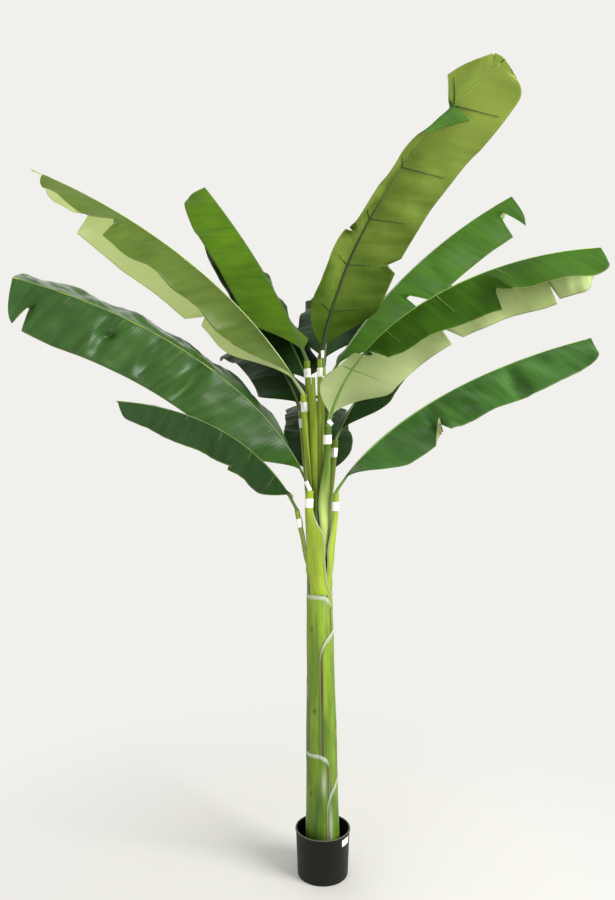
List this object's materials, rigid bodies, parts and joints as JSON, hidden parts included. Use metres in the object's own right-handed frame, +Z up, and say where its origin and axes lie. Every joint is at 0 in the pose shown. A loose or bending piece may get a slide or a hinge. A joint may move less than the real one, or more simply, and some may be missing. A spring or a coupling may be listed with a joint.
{
  "type": "artificial banana plant",
  "caption": "Artificial banana plant: long split leaves on plug-in stalks at the top of a sheathed green trunk, standing in a plain round pot.",
  "frame": {"origin": "centre of the pot's flat underside, at floor level", "axes": "+Z up along the trunk, -Y towards the plant's front, +X to its right as seen from the front"},
  "size_m": [1.8096, 1.5822, 2.5742],
  "materials": {
    "pot": "satin black moulded plastic",
    "fill": "rough cast cement",
    "trunk": "satin painted plastic skin over a foam core, yellow-green with brown streaks and pale sheath edges",
    "stalk": "satin plastic-coated stalk",
    "leaf": "printed polyester leaf with a soft gloss",
    "paper": "plain white paper"
  },
  "bodies": {
    "root": {"pot": "pot", "pot_fill": "fill", "pot_label": "paper", "trunk": "trunk", "stalk_a": "stalk", "band_a": "paper", "leaf_a": "leaf", "tag_a": "paper", "stalk_b": "stalk", "band_b": "paper", "leaf_b": "leaf", "stalk_c": "stalk", "band_c": "paper", "leaf_c": "leaf", "stalk_d": "stalk", "band_d": "paper", "leaf_d": "leaf", "stalk_e": "stalk", "band_e": "paper", "leaf_e": "leaf", "tag_e": "paper", "stalk_f": "stalk", "band_f": "paper", "leaf_f": "leaf", "stalk_g": "stalk", "band_g": "paper", "leaf_g": "leaf", "tag_g": "paper", "stalk_h": "stalk", "band_h": "paper", "leaf_h": "leaf", "stalk_i": "stalk", "band_i": "paper", "leaf_i": "leaf", "stalk_j": "stalk", "band_j": "paper", "leaf_j": "leaf", "stalk_k": "stalk", "band_k": "paper", "leaf_k": "leaf", "stalk_l": "stalk", "band_l": "paper", "leaf_l": "leaf", "stalk_m": "stalk", "band_m": "paper", "leaf_m": "leaf", "stalk_cut": "stalk"}
  },
  "joints": []
}
